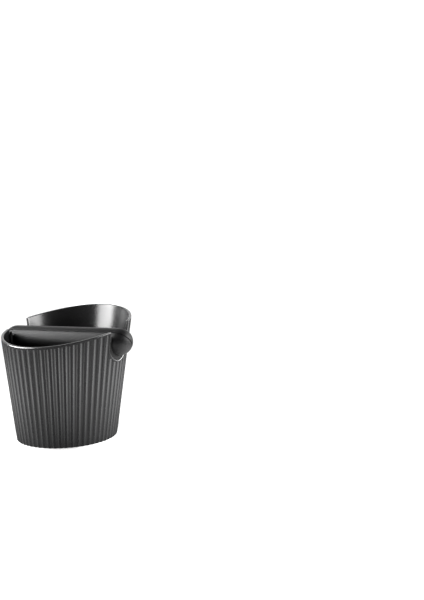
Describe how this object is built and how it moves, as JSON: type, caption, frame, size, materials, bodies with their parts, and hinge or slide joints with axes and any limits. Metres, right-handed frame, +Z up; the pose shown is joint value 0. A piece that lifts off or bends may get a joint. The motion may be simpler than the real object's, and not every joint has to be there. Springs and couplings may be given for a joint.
{
  "type": "espresso knock box",
  "caption": "Flared ribbed tub with a rim sloping up to a high back, and a thick rubber-covered knock bar resting in two cushioned U notches.",
  "frame": {"origin": "on the tub's axis, at the plane of the rubber ring that the box stands on", "axes": "+Z up; X along the knock bar; -Y is the low front, where the filter handle comes in, and +Y the high back"},
  "size_m": [0.1564, 0.1356, 0.1386],
  "materials": {
    "tub_plastic": "satin moulded ABS, charcoal black",
    "ring_rubber": "matt non-slip rubber",
    "cushion_rubber": "matt soft rubber",
    "core_steel": "turned steel",
    "cap_nylon": "natural nylon",
    "bar_rubber": "fine matt rubber with a mould parting line"
  },
  "bodies": {
    "tub": {"tub": "tub_plastic", "base_ring": "ring_rubber", "left_bar_cushion": "cushion_rubber", "right_bar_cushion": "cushion_rubber"},
    "bar_core": {"bar_core": "core_steel", "left_core_cap": "cap_nylon", "right_core_cap": "cap_nylon"},
    "bar_sleeve": {"bar_sleeve": "bar_rubber"}
  },
  "joints": [
    {"name": "bar_lift", "type": "slide", "parent": "tub", "child": "bar_core", "axis": [0, 0, 1], "range_m": [0, 0.055]},
    {"name": "bar_roll", "type": "hinge", "parent": "bar_core", "child": "bar_sleeve", "pos_m": [0, 0, 0.1028], "axis": [1, 0, 0], "continuous": true}
  ]
}
